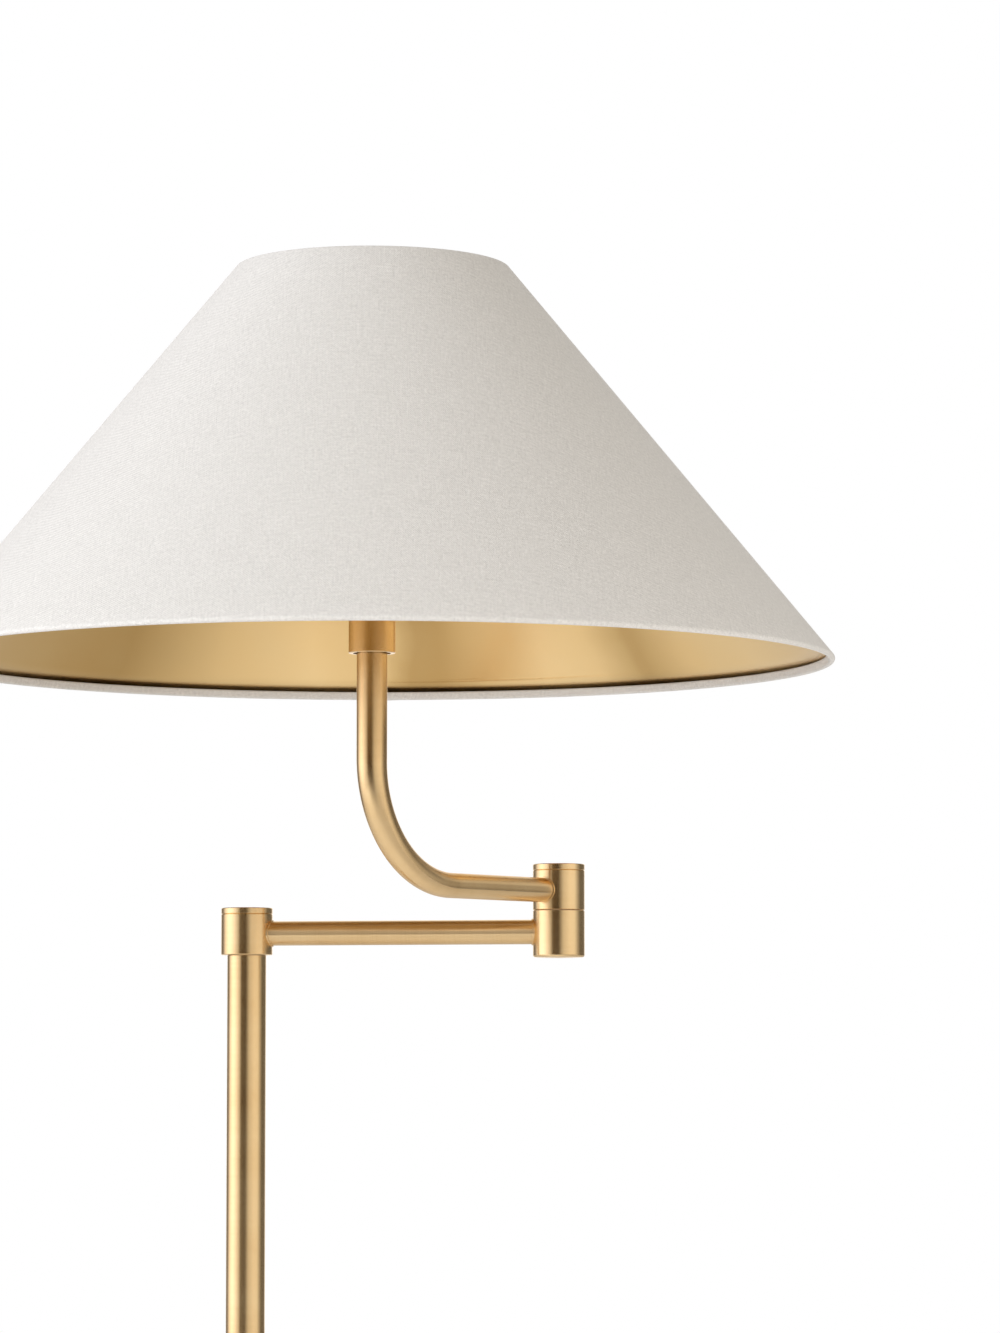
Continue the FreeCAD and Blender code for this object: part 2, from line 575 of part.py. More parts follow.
def lower_arm():
    housing = turning_housing(SHOULDER, SHOULDER_BOTTOM, SHOULDER_TOP, LOWER_DIR, LOWER_ARM_Z, LOWER_TUBE_R)
    save("shoulder_housing", housing)
    save("shoulder_cap", knuckle_cap(SHOULDER, SHOULDER_TOP))
    save("shoulder_stop_pin", stop_pin(SHOULDER, LOWER_DIR, SHOULDER_BOTTOM))
    start = at(SHOULDER + LOWER_DIR * TUBE_SEAT, LOWER_ARM_Z)
    length = LOWER_ARM_LENGTH - 2.0 * TUBE_SEAT
    arm = tube(LOWER_TUBE_R, LOWER_TUBE_R - TUBE_WALL, start, LOWER_DIR, length)
    arm = arm.fuse(braze_ring(SHOULDER, LOWER_DIR, LOWER_ARM_Z, LOWER_TUBE_R))
    save("lower_arm_tube", arm.fuse(braze_ring(ELBOW, LOWER_DIR * -1.0, LOWER_ARM_Z, LOWER_TUBE_R)))
    save("elbow_lower_housing", elbow_lower_housing())
    plate_z = ELBOW_SPLIT - PIVOT_PLATE_T
    save("elbow_pivot_plate", tube(KNUCKLE_BORE_R, PIVOT_R, at(ELBOW, plate_z), UP, PIVOT_PLATE_T))
    floor_top = UPPER_HOUSING_BOTTOM + KNUCKLE_WEB
    nut_z = pivot_stack("elbow", ELBOW, floor_top, LOWER_ARM_ANGLE, ELBOW_TRAVEL)
    save("elbow_nuts", hex_nut(NUT_FLATS, PIVOT_R, at(ELBOW, nut_z), UP, NUT_T),
         hex_nut(NUT_FLATS, PIVOT_R, at(ELBOW, plate_z - NUT_T), UP, NUT_T))
    pivot_bottom = plate_z - NUT_T - PIVOT_CLEAR
    save("elbow_pivot", hollow_pivot(ELBOW, pivot_bottom, floor_top, nut_z + NUT_T + PIVOT_CLEAR))
    save("elbow_thrust_washer", thrust_washer(ELBOW, ELBOW_SPLIT, KNUCKLE_R - 0.5))
    lead = rod([at(SHOULDER, SHOULDER_BOTTOM + 3.0), at(SHOULDER, LOWER_ARM_Z), at(ELBOW, LOWER_ARM_Z),
                at(ELBOW, UPPER_HOUSING_BOTTOM + 2.0)], LEAD_BEND_R, LEAD_R)
    save("lower_arm_lead", lead)


# ---- Upper arm ----
def bend_frame(angle):
    """Point and direction on the bend of the upper arm, angle 0 level and 90 upright."""
    turn = math.radians(angle)
    reach = UPPER_ARM_LENGTH - UPPER_BEND_R + UPPER_BEND_R * math.sin(turn)
    rise = UPPER_BEND_R * (1.0 - math.cos(turn))
    return at(ELBOW + UPPER_DIR * reach, UPPER_ARM_Z + rise), UPPER_DIR * math.cos(turn) + UP * math.sin(turn)


def tapered_arm(shrink):
    """Solid outline of the bent arm: level run, tapered bend, upright run."""
    thin = UPPER_TUBE_R - shrink
    thick = UPPER_TUBE_TOP_R - shrink
    sections = []
    for step in range(BEND_SECTIONS + 1):
        share = step / BEND_SECTIONS
        point, direction = bend_frame(90.0 * share)
        sections.append(Part.Wire(Part.makeCircle(thin + (thick - thin) * share, point, direction)))
    bend = Part.makeLoft(sections, True, False)
    start = at(ELBOW + UPPER_DIR * TUBE_SEAT, UPPER_ARM_Z)
    level = cylinder(thin, start, UPPER_DIR, UPPER_ARM_LENGTH - UPPER_BEND_R - TUBE_SEAT)
    bend_top = UPPER_ARM_Z + UPPER_BEND_R
    upright = cylinder(thick, at(SHADE, bend_top), UP, TUBE_TOP - bend_top)
    return level.fuse(bend).fuse(upright)


def harp_parts():
    """Saddle under the lampholder, wire harp and the sleeves that lock its feet."""
    place = Placement(at(SHADE, COLLAR_TOP), Rotation(UP, HARP_ANGLE))
    saddle = harp_saddle()
    saddle.Placement = place
    sleeves = []
    for side in (-1.0, 1.0):
        foot = Vector(side * HARP_FOOT, 0, SADDLE_EAR - SLEEVE_BELOW)
        sleeve = tube(SLEEVE_R, HARP_WIRE_R, foot, UP, SLEEVE_H)
        sleeve.Placement = place.multiply(sleeve.Placement)
        sleeves.append(sleeve)
    save("harp_saddle", saddle)
    save("harp_sleeves", *sleeves)
    save("harp", harp())


def harp_saddle():
    """Bent strip with a round middle that the nipple clamps, and two ears for the harp."""
    origin = Vector(0, 0, 0)
    middle = tube(SADDLE_DISC_R, SOCKET_NIPPLE_R, origin, UP, SADDLE_T)
    ears = []
    for side in (-1.0, 1.0):
        strip_x = 0.0 if side > 0 else -SADDLE_SPAN
        ear_x = SADDLE_SPAN - SADDLE_T if side > 0 else -SADDLE_SPAN
        low_y = -SADDLE_WIDTH / 2.0
        ears.append(Part.makeBox(SADDLE_SPAN, SADDLE_WIDTH, SADDLE_T, Vector(strip_x, low_y, 0)))
        ears.append(Part.makeBox(SADDLE_T, SADDLE_WIDTH, SADDLE_EAR, Vector(ear_x, low_y, 0)))
    hole = cylinder(SOCKET_NIPPLE_R, origin, UP, SADDLE_T)
    return middle.multiFuse(ears).cut(hole).removeSplitter()


def harp():
    """Wire loop round the bulb, with the threaded stud and seat that carry the shade."""
    outline = ((HARP_FOOT, COLLAR_TOP + 5.0), (HARP_FOOT, HARP_FLARE_Z), (HARP_HALF_WIDTH, HARP_WIDE_FROM),
               (HARP_HALF_WIDTH, HARP_WIDE_TO), (HARP_SHOULDER, HARP_TOP - 2.0))
    right = [at(SHADE + HARP_DIR * reach, z) for reach, z in outline]
    left = [at(SHADE - HARP_DIR * reach, z) for reach, z in reversed(outline)]
    loop = rod(right + left, HARP_BEND_R, HARP_WIRE_R)
    seat_z = HARP_TOP - HARP_SEAT_R
    seat_top = SPIDER_DROP_Z - SPIDER_WASHER_T / 2.0
    seat = cylinder(HARP_SEAT_R, at(SHADE, seat_z), UP, seat_top - seat_z)
    stud = cylinder(HARP_STUD_R, at(SHADE, HARP_TOP - 2.0), UP, HARP_STUD_LENGTH)
    return loop.fuse(seat).fuse(stud)


def lampholder():
    """Brass cap and shell, liner, switch block, screw shell, contact and the nipple that holds them."""
    cap_top = HOLDER_BASE + HOLDER_CAP_H
    save("lampholder_cap", lampholder_cap(cap_top))
    outside = HOLDER_R + HOLDER_WALL
    lip_z = HOLDER_TOP - 0.6
    shell = turned([(outside, cap_top - 3.0), (outside, HOLDER_TOP - 0.8), (HOLDER_R, HOLDER_TOP),
                    (INSULATOR_R, HOLDER_TOP), (INSULATOR_R, lip_z), (HOLDER_R, lip_z),
                    (HOLDER_R, cap_top - 3.0)], SHADE)
    save("lampholder_shell", shell)
    liner_z = cap_top + 0.5
    liner = tube(INSULATOR_R, INSULATOR_R - 0.8, at(SHADE, liner_z), UP, lip_z - 0.1 - liner_z)
    save("lampholder_liner", liner)
    save("lampholder_switch_block", switch_block())
    shell_z = HOLDER_BASE + SCREW_SHELL_UP
    screw_shell = turned(thread_outline(SCREW_SHELL_R, shell_z, SCREW_SHELL_WALL), SHADE)
    save("lampholder_screw_shell", screw_shell)
    save("lampholder_contact", cylinder(CONTACT_R, at(SHADE, shell_z), UP, 1.2))
    nipple_z = TUBE_TOP + 0.5
    nipple_h = HOLDER_BASE + 4.0 - nipple_z
    save("socket_nipple", tube(SOCKET_NIPPLE_R, SOCKET_NIPPLE_BORE_R, at(SHADE, nipple_z), UP, nipple_h))


def lampholder_cap(cap_top):
    """Spun cup with a hole for the spindle of the switch."""
    outer = [(SOCKET_NIPPLE_R, HOLDER_BASE), (9.5, HOLDER_BASE), (14.5, HOLDER_BASE + 4.0),
             (HOLDER_R, HOLDER_BASE + 9.0), (HOLDER_R, cap_top)]
    inner = [(radius - HOLDER_WALL, z + HOLDER_WALL) for radius, z in reversed(outer[1:-1])]
    rim = [(HOLDER_R - HOLDER_WALL, cap_top)]
    cup = turned(outer + rim + inner + [(SOCKET_NIPPLE_R, HOLDER_BASE + HOLDER_WALL)], SHADE)
    return cup.cut(cylinder(SPINDLE_HOLE_R, at(SHADE, KNOB_Z), KNOB_DIR, HOLDER_R + CUT_PAST))


def switch_block():
    """Moulded block with room for the wires, and holes for the spindle and the contact's rivet."""
    foot = at(SHADE, HOLDER_BASE + 8.0)
    block = cylinder(SWITCH_BLOCK_R, foot, UP, SWITCH_BLOCK_H)
    block = block.cut(cylinder(6.0, foot, UP, 6.0))
    block = block.cut(cylinder(1.0, foot, UP, SWITCH_BLOCK_H))
    return block.cut(cylinder(SPINDLE_HOLE_R, at(SHADE, KNOB_Z), KNOB_DIR, HOLDER_R))


def thread_outline(radius, bottom, wall):
    """Wavy wall of a screw shell, open at both ends."""
    outside = []
    for step in range(13):
        z = bottom + step * SCREW_PITCH / 2.0
        crest = radius if step % 2 else radius - SCREW_DEPTH
        outside.append((crest, z))
    inside = [(crest - wall, z) for crest, z in reversed(outside)]
    return outside + inside


def switch_knob():
    """Paddle knob on a spindle that turns the switch."""
    knob_base = at(SHADE, KNOB_Z)
    grip_reach = KNOB_REACH - PADDLE_END
    spindle_from = 9.0
    spindle = cylinder(SPINDLE_R, knob_base + KNOB_DIR * spindle_from, KNOB_DIR, grip_reach - spindle_from)
    grip = turned([(0, 0), (3.4, 0), (3.8, 1.0), (3.0, 5.0), (0, 5.0)], Vector(0, 0, 0))
    corner = Vector(-PADDLE_WIDTH / 2.0, -PADDLE_T / 2.0, 4.0)
    paddle = Part.makeBox(PADDLE_WIDTH, PADDLE_T, PADDLE_END - 4.0, corner)
    corners = []
    for edge in paddle.Edges:
        if abs(edge.BoundBox.YLength - PADDLE_T) < 0.01 and edge.BoundBox.ZMax > PADDLE_END - 1.0:
            corners.append(edge)
    knob = grip.fuse(paddle.makeFillet(PADDLE_CORNER_R, corners))
    knob.Placement = Placement(knob_base + KNOB_DIR * grip_reach, Rotation(UP, KNOB_DIR))
    save("switch_knob", knob.fuse(spindle))


def bulb():
    """Glass envelope and its screw base, seated on the contact."""
    foot = HOLDER_BASE + BULB_SEAT
    base_top = foot + BULB_BASE_H
    thread = []
    for step in range(10):
        crest = BULB_SCREW_R if step % 2 else BULB_SCREW_R - 0.7
        thread.append((crest, foot + 2.2 + step * SCREW_PITCH / 2.0))
    screw = turned([(0, foot), (4.0, foot), (8.0, foot + 2.2)] + thread +
                   [(BULB_NECK_R, base_top), (BULB_NECK_R - 1.0, base_top), (BULB_NECK_R - 1.0, foot + 3.2),
                    (0, foot + 3.2)], SHADE)
    save("bulb_screw_base", screw)
    outer = bulb_outline(0.0, base_top)
    inner = bulb_outline(BULB_GLASS_T, base_top)
    save("bulb_glass", outer.cut(inner))


def bulb_outline(shrink, base_top):
    """Pear shape: a ball on a neck that flares up from the base."""
    ball = BULB_R - shrink
    neck = BULB_NECK_R - shrink
    touch_angle = math.radians(BULB_TOUCH_ANGLE)
    touch = ball_point(ball, touch_angle)
    neck_foot = Vector(neck, 0, base_top)
    flare = Part.BSplineCurve()
    flare.interpolate(Points=[neck_foot, touch], InitialTangent=Vector(0.05, 0, 1),
                      FinalTangent=Vector(-math.sin(touch_angle), 0, math.cos(touch_angle)))
    crown = Vector(0, 0, BULB_CENTRE_Z + ball)
    side = ball_point(ball, math.radians(25.0))
    edges = [Part.makeLine(Vector(0, 0, base_top), neck_foot), flare.toShape(),
             Part.Arc(touch, side, crown).toShape(), Part.makeLine(crown, Vector(0, 0, base_top))]
    return aimed(Part.Face(Part.Wire(edges)).revolve(Vector(0, 0, 0), UP, 360), SHADE)


def ball_point(ball, angle):
    return Vector(ball * math.cos(angle), 0, BULB_CENTRE_Z + ball * math.sin(angle))


# ---- Shade ----
def shade_wall(outer_offset, inner_offset):
    """Cone wall between two offsets from the line that joins the centres of the hems."""
    run = HEM_TOP_RING_R - HEM_BOTTOM_RING_R
    rise = HEM_TOP_Z - HEM_BOTTOM_Z
    slant = math.hypot(run, rise)
    along = (run / slant, rise / slant)
    corners = []
    for distance, offset in ((HEM_R, outer_offset), (slant - HEM_R, outer_offset),
                             (slant - HEM_R, inner_offset), (HEM_R, inner_offset)):
        radius = HEM_BOTTOM_RING_R + along[0] * distance + along[1] * offset
        corners.append((radius, HEM_BOTTOM_Z + along[1] * distance - along[0] * offset))
    return turned(corners, SHADE)


def hem(ring_r, z):
    centre = at(SHADE, z)
    return Part.makeTorus(ring_r, HEM_R, centre, UP).cut(Part.makeTorus(ring_r, RING_R, centre, UP))


def shade_spider():
    """Top ring, three wires and the washer that the finial holds down."""
    ring = Part.makeTorus(HEM_TOP_RING_R, RING_R, at(SHADE, HEM_TOP_Z), UP)
    washer_foot = at(SHADE, SPIDER_DROP_Z - SPIDER_WASHER_T / 2.0)
    washer = cylinder(SPIDER_WASHER_R, washer_foot, UP, SPIDER_WASHER_T)
    arms = []
    for angle in SPIDER_HEADINGS:
        out = heading(angle)
        arms.append(rod([at(SHADE + out * (SPIDER_WASHER_R - 2.5), SPIDER_DROP_Z),
                         at(SHADE + out * SPIDER_KNEE_R, SPIDER_DROP_Z),
                         at(SHADE + out * HEM_TOP_RING_R, HEM_TOP_Z)], SPIDER_BEND_R, SPIDER_WIRE_R))
    hole = cylinder(SPIDER_HOLE_R, at(SHADE, SPIDER_DROP_Z - 3.0), UP, 6.0)
    return ring.multiFuse([washer] + arms).cut(hole), arms


def shade():
    spider, arms = shade_spider()
    save("shade_spider", spider)
    save("shade_bottom_ring", Part.makeTorus(HEM_BOTTOM_RING_R, RING_R, at(SHADE, HEM_BOTTOM_Z), UP))
    save("shade_bottom_hem", hem(HEM_BOTTOM_RING_R, HEM_BOTTOM_Z))
    top_hem = hem(HEM_TOP_RING_R, HEM_TOP_Z)
    fabric_inside = HEM_R - FABRIC_T
    fabric = shade_wall(HEM_R, fabric_inside)
    lining = shade_wall(fabric_inside, fabric_inside - LINING_T)
    for arm in arms:
        top_hem = top_hem.cut(arm)
        lining = lining.cut(arm)
        fabric = fabric.cut(arm)
    save("shade_top_hem", top_hem)
    save("shade_lining", lining)
    save("shade_fabric", fabric)
    save("shade_finial", shade_finial())


def shade_finial():
    """Low round nut that holds the spider down on the harp's stud."""
    seat_z = SPIDER_DROP_Z + SPIDER_WASHER_T / 2.0 + FINIAL_GAP
    outline = [(0, 0), (5.2, 0), (5.6, 0.5), (5.6, 4.2), (5.0, 5.2), (4.0, 5.8), (0, 6.2)]
    finial = turned(outline, at(SHADE, seat_z))
    stud_top = HARP_TOP - 2.0 + HARP_STUD_LENGTH
    return finial.cut(cylinder(HARP_STUD_R, at(SHADE, seat_z), UP, stud_top - seat_z))


def upper_arm():
    housing = turning_housing(ELBOW, UPPER_HOUSING_BOTTOM, ELBOW_TOP, UPPER_DIR, UPPER_ARM_Z, UPPER_TUBE_R)
    save("elbow_upper_housing", housing)
    save("elbow_cap", knuckle_cap(ELBOW, ELBOW_TOP))
    save("elbow_stop_pin", stop_pin(ELBOW, UPPER_DIR, UPPER_HOUSING_BOTTOM))
    arm = tapered_arm(0.0).cut(tapered_arm(TUBE_WALL))
    save("upper_arm_tube", arm.fuse(braze_ring(ELBOW, UPPER_DIR, UPPER_ARM_Z, UPPER_TUBE_R)))
    save("socket_collar", socket_collar())
    harp_parts()
    lampholder()
    bulb()
    shade()
    save("upper_arm_lead", upper_lead())


def socket_collar():
    """Sleeve over the end of the arm, with a shallow recess round the arm in its underside."""
    floor_z = COLLAR_BOTTOM + COLLAR_RECESS
    outline = [(COLLAR_RECESS_R, COLLAR_BOTTOM), (COLLAR_R - COLLAR_BREAK, COLLAR_BOTTOM),
               (COLLAR_R, COLLAR_BOTTOM + COLLAR_BREAK), (COLLAR_R, COLLAR_TOP - COLLAR_BREAK),
               (COLLAR_R - COLLAR_BREAK, COLLAR_TOP), (SOCKET_NIPPLE_R, COLLAR_TOP),
               (SOCKET_NIPPLE_R, TUBE_TOP), (UPPER_TUBE_TOP_R, TUBE_TOP),
               (UPPER_TUBE_TOP_R, floor_z), (COLLAR_RECESS_R, floor_z)]
    return turned(outline, SHADE)


def upper_lead():
    """Lead from the elbow, round the bend of the arm and up to the switch."""
    start = at(ELBOW, UPPER_HOUSING_BOTTOM + 2.5)
    knee = at(ELBOW, UPPER_ARM_Z)
    bend_in, _ = bend_frame(0.0)
    bend_out, _ = bend_frame(90.0)
    middle, _ = bend_frame(45.0)
    first = rounded_path([start, knee, bend_in], LEAD_BEND_R)
    edges = first.Edges + [Part.Arc(bend_in, middle, bend_out).toShape(),
                           Part.makeLine(bend_out, at(SHADE, HOLDER_BASE + 3.5))]
    section = Part.Wire(Part.makeCircle(LEAD_R, start, UP))
    return Part.Wire(edges).makePipeShell([section], True, False)


def main():
    os.makedirs("parts", exist_ok=True)
    wall_mount()
    lower_arm()
    upper_arm()
    switch_knob()


main()
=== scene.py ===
import json
import math

import bmesh
import bpy
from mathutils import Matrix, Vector


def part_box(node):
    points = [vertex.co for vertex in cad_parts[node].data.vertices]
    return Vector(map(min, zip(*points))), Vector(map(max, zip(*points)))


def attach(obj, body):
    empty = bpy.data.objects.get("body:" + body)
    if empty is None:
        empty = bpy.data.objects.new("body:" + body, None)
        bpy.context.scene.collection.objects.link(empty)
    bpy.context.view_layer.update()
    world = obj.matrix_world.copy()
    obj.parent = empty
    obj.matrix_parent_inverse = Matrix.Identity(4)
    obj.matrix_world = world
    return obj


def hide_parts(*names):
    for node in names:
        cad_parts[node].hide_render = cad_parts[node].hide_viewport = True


# Swing arm sconce: satin brass arms and a linen cone shade with a gold foil lining. Metres, +Z up,
# the wall is the plane Y = 0 and the room is towards -Y.

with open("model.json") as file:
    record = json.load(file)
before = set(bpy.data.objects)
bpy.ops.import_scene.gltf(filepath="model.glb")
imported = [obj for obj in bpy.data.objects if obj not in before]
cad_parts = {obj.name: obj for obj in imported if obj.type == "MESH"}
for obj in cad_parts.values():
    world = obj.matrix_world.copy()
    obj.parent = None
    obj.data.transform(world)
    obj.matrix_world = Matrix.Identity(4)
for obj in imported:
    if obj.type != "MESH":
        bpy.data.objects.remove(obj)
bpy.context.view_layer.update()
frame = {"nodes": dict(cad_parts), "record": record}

MM = 0.001
UP = Vector((0, 0, 1))
FULL_TURN = 2 * math.pi

# ---- Places taken from the frame ----
JOINT_AXES = {joint["name"]: Vector(joint["pos_m"]) for joint in frame["record"]["behaviour"]["joints"]}
SHOULDER = JOINT_AXES["shoulder_swivel"]
ELBOW = JOINT_AXES["elbow_swivel"]


def middle(node):
    low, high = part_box(node)
    return (low + high) / 2


class Ring:
    """A hem of the shade: centre of its wire's circle, radius of that circle and of the roll round it."""

    def __init__(self, node):
        low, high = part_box(node)
        self.centre = (low + high) / 2
        self.roll_r = (high.z - low.z) / 2
        self.ring_r = (high.x - low.x) / 2 - self.roll_r


BOTTOM_HEM = Ring("shade_bottom_hem")
TOP_HEM = Ring("shade_top_hem")
SHADE_AXIS = BOTTOM_HEM.centre.copy()
SHADE_RIM_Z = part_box("shade_bottom_hem")[0].z

BEND_R = 60.5 * MM           # centre line of the upper arm's bend
ARM_R = 6.35 * MM            # the arm's level run

# ---- Camera, seen from the room and a little below the shade ----
CAMERA_FROM_RIM = Vector((0.06356, -2.4838, -0.2142))
CAMERA_PITCH_DEG = 4.9
CAMERA_LENS = 135.5
CAMERA_SENSOR = 36.0

# ---- Shade ----
SEAM_HEADING_DEG = 90.0      # the lapped seam faces the wall
SEAM_LAP = 9 * MM
LINEN_T = 0.35 * MM
LINING_OFFSET = 0.6 * MM     # outer face of the lining, from the line that joins the two ring wires
LINING_T = 0.4 * MM
CURL_DEG = 205.0             # how far the linen wraps round each ring wire
RETURN_STRIP = 3.0 * MM      # flat edge of the linen glued back on to the lining, at the bottom
TURNS = 288                  # steps round the shade
WALL_ROWS = 24               # steps up the shade
CURL_STEPS = 16              # steps round each wire
RETURN_ROWS = 3
LINING_INSET = 0.8           # the lining stops short of each wire, as a share of the hem's roll


# ---- Shader helpers ----
class Shader:
    """One node material that is built up by named steps."""

    def __init__(self, name):
        self.material = bpy.data.materials.new(name)
        self.material.use_nodes = True
        self.tree = self.material.node_tree
        self.tree.nodes.clear()
        self.output = self.tree.nodes.new("ShaderNodeOutputMaterial")
        self.bsdf = self.tree.nodes.new("ShaderNodeBsdfPrincipled")
        self.tree.links.new(self.bsdf.outputs[0], self.output.inputs["Surface"])

    def node(self, kind, **settings):
        made = self.tree.nodes.new(kind)
        for key, value in settings.items():
            setattr(made, key, value)
        return made

    def feed(self, socket, value):
        if isinstance(value, bpy.types.NodeSocket):
            self.tree.links.new(value, socket)
        else:
            socket.default_value = value

    def set(self, **values):
        names = {"color": "Base Color", "metallic": "Metallic", "roughness": "Roughness", "normal": "Normal",
                 "sheen": "Sheen Weight", "sheen_roughness": "Sheen Roughness", "coat": "Coat Weight",
                 "coat_roughness": "Coat Roughness", "anisotropic": "Anisotropic", "tangent": "Tangent",
                 "specular": "Specular IOR Level", "ior": "IOR"}
        for key, value in values.items():
            self.feed(self.bsdf.inputs[names[key]], value)
        return self

    def coords(self):
        return self.node("ShaderNodeTexCoord").outputs["Object"]

    def uv(self, name):
        return self.node("ShaderNodeUVMap", uv_map=name).outputs["UV"]

    def math(self, operation, first, second=None, third=None):
        made = self.node("ShaderNodeMath", operation=operation)
        for socket, value in zip(made.inputs, (first, second, third)):
            if value is not None:
                self.feed(socket, value)
        return made.outputs[0]

    def vector(self, operation, first, second=None):
        made = self.node("ShaderNodeVectorMath", operation=operation)
        self.feed(made.inputs[0], first)
        if second is not None:
            self.feed(made.inputs["Scale" if operation == "SCALE" else 1], second)
        return made.outputs["Value" if operation in ("DOT_PRODUCT", "LENGTH") else "Vector"]

    def stretch(self, vector, scale):
        """The coordinates times a scale for each axis."""
        return self.vector("MULTIPLY", vector, scale)

    def noise(self, vector, scale, detail, roughness):
        made = self.node("ShaderNodeTexNoise")
        self.feed(made.inputs["Vector"], vector)
        made.inputs["Scale"].default_value = scale
        made.inputs["Detail"].default_value = detail
        made.inputs["Roughness"].default_value = roughness
        return made.outputs["Fac"]

    def ramp(self, factor, *stops):
        made = self.node("ShaderNodeValToRGB")
        elements = made.color_ramp.elements
        for _ in range(len(stops) - 2):
            elements.new(0.5)
        for element, (place, color) in zip(elements, stops):
            element.position = place
            element.color = color
        self.feed(made.inputs[0], factor)
        return made.outputs[0]

    def span(self, value, low, high, to_low, to_high):
        made = self.node("ShaderNodeMapRange")
        for socket, number in zip(made.inputs, (value, low, high, to_low, to_high)):
            self.feed(socket, number)
        return made.outputs[0]

    def mix(self, factor, first, second, blend="MIX"):
        made = self.node("ShaderNodeMix", data_type="RGBA", blend_type=blend)
        self.feed(made.inputs[0], factor)
        self.feed(made.inputs[6], first)
        self.feed(made.inputs[7], second)
        return made.outputs[2]

    def bump(self, height, distance, strength):
        made = self.node("ShaderNodeBump")
        made.inputs["Strength"].default_value = strength
        made.inputs["Distance"].default_value = distance
        self.feed(made.inputs["Height"], height)
        return made.outputs[0]

    def to_world(self, vector):
        made = self.node("ShaderNodeVectorTransform", vector_type="VECTOR", convert_from="OBJECT",
                         convert_to="WORLD")
        self.feed(made.inputs[0], vector)
        return made.outputs[0]

    def object_normal(self):
        made = self.node("ShaderNodeVectorTransform", vector_type="NORMAL", convert_from="WORLD",
                         convert_to="OBJECT")
        self.feed(made.inputs[0], self.node("ShaderNodeNewGeometry").outputs["Normal"])
        return made.outputs[0]


# ---- Brass ----
BRASS_DARK = (0.73, 0.50, 0.25, 1.0)
BRASS_MID = (0.81, 0.585, 0.32, 1.0)
BRASS_LIGHT = (0.86, 0.65, 0.38, 1.0)
GRAIN_ALONG = 2600.0         # brushing grooves per metre, counted along the part's axis
GRAIN_AROUND = 45.0          # how often a groove changes on its way round, per metre
GRAIN_DEPTH = 0.0012 * MM
POST_POLISH = (0.235, 0.8)   # roughness, and how far the polish spreads light one way
LOWER_ARM_POLISH = (0.33, 1.0)
SOCKET_POLISH = (0.21, 0.75)
CANOPY_POLISH = (0.26, 0.8)


def brass_shader(name, tangent_of, polish):
    """Satin lacquered brass. tangent_of gives the object-space direction that the polish spreads light in."""
    sheen, spread = polish
    shader = Shader(name)
    place = shader.coords()
    tangent, along, around = tangent_of(shader, place)
    lines_at = shader.node("ShaderNodeCombineXYZ")
    shader.feed(lines_at.inputs[0], shader.math("MULTIPLY", along, GRAIN_ALONG))
    shader.feed(lines_at.inputs[1], shader.math("MULTIPLY", around, GRAIN_AROUND))
    lines = shader.noise(lines_at.outputs[0], 1.0, 4.0, 0.6)
    clouds = shader.noise(place, 38.0, 5.0, 0.55)
    specks = shader.noise(place, 900.0, 2.0, 0.5)
    tone = shader.math("MULTIPLY_ADD", lines, 0.35, shader.math("MULTIPLY", clouds, 0.65))
    color = shader.ramp(tone, (0.25, BRASS_DARK), (0.5, BRASS_MID), (0.78, BRASS_LIGHT))
    rough = shader.math("ADD", shader.span(tone, 0.2, 0.8, sheen - 0.02, sheen + 0.02),
                        shader.span(specks, 0.6, 0.8, 0.0, 0.03))
    normal = shader.bump(lines, GRAIN_DEPTH, 0.5)
    shader.set(color=color, metallic=1.0, roughness=rough, normal=normal, anisotropic=spread,
               tangent=shader.to_world(tangent))
    return shader.material


def turned_about(centre, axis):
    """Polish of a part turned about an axis: grooves run round it, and light spreads across them."""
    def directions(shader, place):
        out = shader.vector("SUBTRACT", place, centre)
        groove = shader.vector("CROSS_PRODUCT", axis, out)
        across = shader.vector("CROSS_PRODUCT", groove, shader.object_normal())
        tangent = shader.vector("NORMALIZE", across)
        along = shader.vector("DOT_PRODUCT", out, axis)
        radius = shader.vector("LENGTH", groove)
        reach = shader.math("ADD", along, radius)
        around = shader.vector("DOT_PRODUCT", out, axis.orthogonal().normalized())
        return tangent, reach, around
    return directions


def along_bent_arm(knee, level, heading):
    """Polish of the bent arm. knee is the centre of the bend and level is its radius."""
    def directions(shader, place):
        out = shader.vector("SUBTRACT", place, knee)
        forward = shader.math("MAXIMUM", shader.vector("DOT_PRODUCT", out, heading), 0.0)
        down = shader.math("MAXIMUM", shader.vector("DOT_PRODUCT", out, -UP), 0.0)
        first = shader.vector("SCALE", heading, down)
        second = shader.vector("SCALE", UP, forward)
        run = shader.vector("NORMALIZE", shader.vector("ADD", first, second))
        before = shader.math("MINIMUM", shader.vector("DOT_PRODUCT", out, heading), 0.0)
        after = shader.math("MAXIMUM", shader.vector("DOT_PRODUCT", out, UP), 0.0)
        bent = shader.math("MULTIPLY", shader.math("ARCTAN2", forward, down), level)
        along = shader.math("ADD", bent, shader.math("ADD", before, after))
        around = shader.vector("DOT_PRODUCT", place, heading.cross(UP))
        return run, along, around
    return directions


def paint(material, *nodes):
    """Give CAD nodes a material in each of their slots."""
    for node in nodes:
        data = frame["nodes"][node].data
        if not data.materials:
            data.materials.append(material)
        for index in range(len(data.materials)):
            data.materials[index] = material


